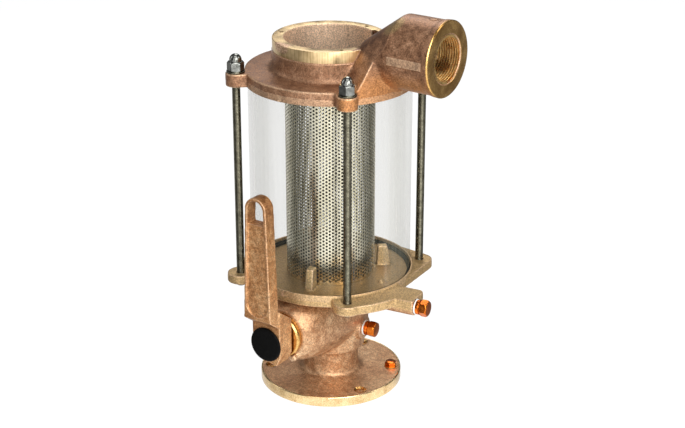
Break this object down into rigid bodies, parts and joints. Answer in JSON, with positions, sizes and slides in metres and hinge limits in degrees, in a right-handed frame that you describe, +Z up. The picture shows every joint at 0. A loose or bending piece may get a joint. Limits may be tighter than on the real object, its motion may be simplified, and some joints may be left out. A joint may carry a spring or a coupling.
{
  "type": "sea strainer with seacock",
  "caption": "Bronze marine sea strainer: clear sight tube, perforated basket, side outlet, quarter-turn ball valve with lever, and round mounting flange.",
  "frame": {"origin": "centre of the mounting flange's lower face, on the inlet's axis", "axes": "+Z up along the strainer from the inlet, +X along the outlet, -Y along the valve stem"},
  "size_m": [0.2105, 0.2022, 0.3919],
  "materials": {
    "cast_bronze": "sand cast, lightly tumbled",
    "cast_bronze_lever": "sand cast, reddish",
    "cast_bronze_head": "sand cast, darker",
    "machined_bronze": "turned, bright",
    "copper_alloy": "glossy, reddish",
    "thread_tape": "white thread tape",
    "seat_plastic": "white PTFE",
    "stainless": "drawn bar",
    "polished_stainless": "polished",
    "black_plastic": "moulded, satin",
    "black_rubber": "matte",
    "clear_tube": "clear",
    "basket_steel": "perforated sheet"
  },
  "bodies": {
    "housing": {"mounting_flange": "cast_bronze", "bonding_bolt": "copper_alloy", "bonding_washer": "machined_bronze", "base_casting": "cast_bronze", "drain_plug": "copper_alloy", "drain_plug_tape": "thread_tape", "service_plug": "copper_alloy", "service_plug_tape": "thread_tape", "seat_upper": "seat_plastic", "seat_lower": "seat_plastic", "stem_thrust_washer": "seat_plastic", "stem_packing": "seat_plastic", "bonnet": "machined_bronze", "sight_glass": "clear_tube", "lower_gasket": "black_rubber", "upper_gasket": "black_rubber", "head_casting": "cast_bronze_head", "tie_rods": "stainless", "rod_washers": "stainless", "acorn_nuts": "polished_stainless"},
    "lever": {"ball": "machined_bronze", "stem": "machined_bronze", "lever_handle": "cast_bronze_lever", "handle_screw": "stainless", "handle_washer": "stainless", "handle_cap": "black_plastic"},
    "basket": {"basket_shell": "basket_steel", "basket_bottom": "basket_steel", "basket_top_ring": "basket_steel", "basket_bail": "basket_steel"}
  },
  "joints": [
    {"name": "lever_turn", "type": "hinge", "parent": "housing", "child": "lever", "pos_m": [0, -0.1, 0.0776], "axis": [0, -1, 0], "range_deg": [0, 90]},
    {"name": "basket_lift", "type": "slide", "parent": "housing", "child": "basket", "axis": [0, 0, 1], "range_m": [0, 0.24]}
  ]
}
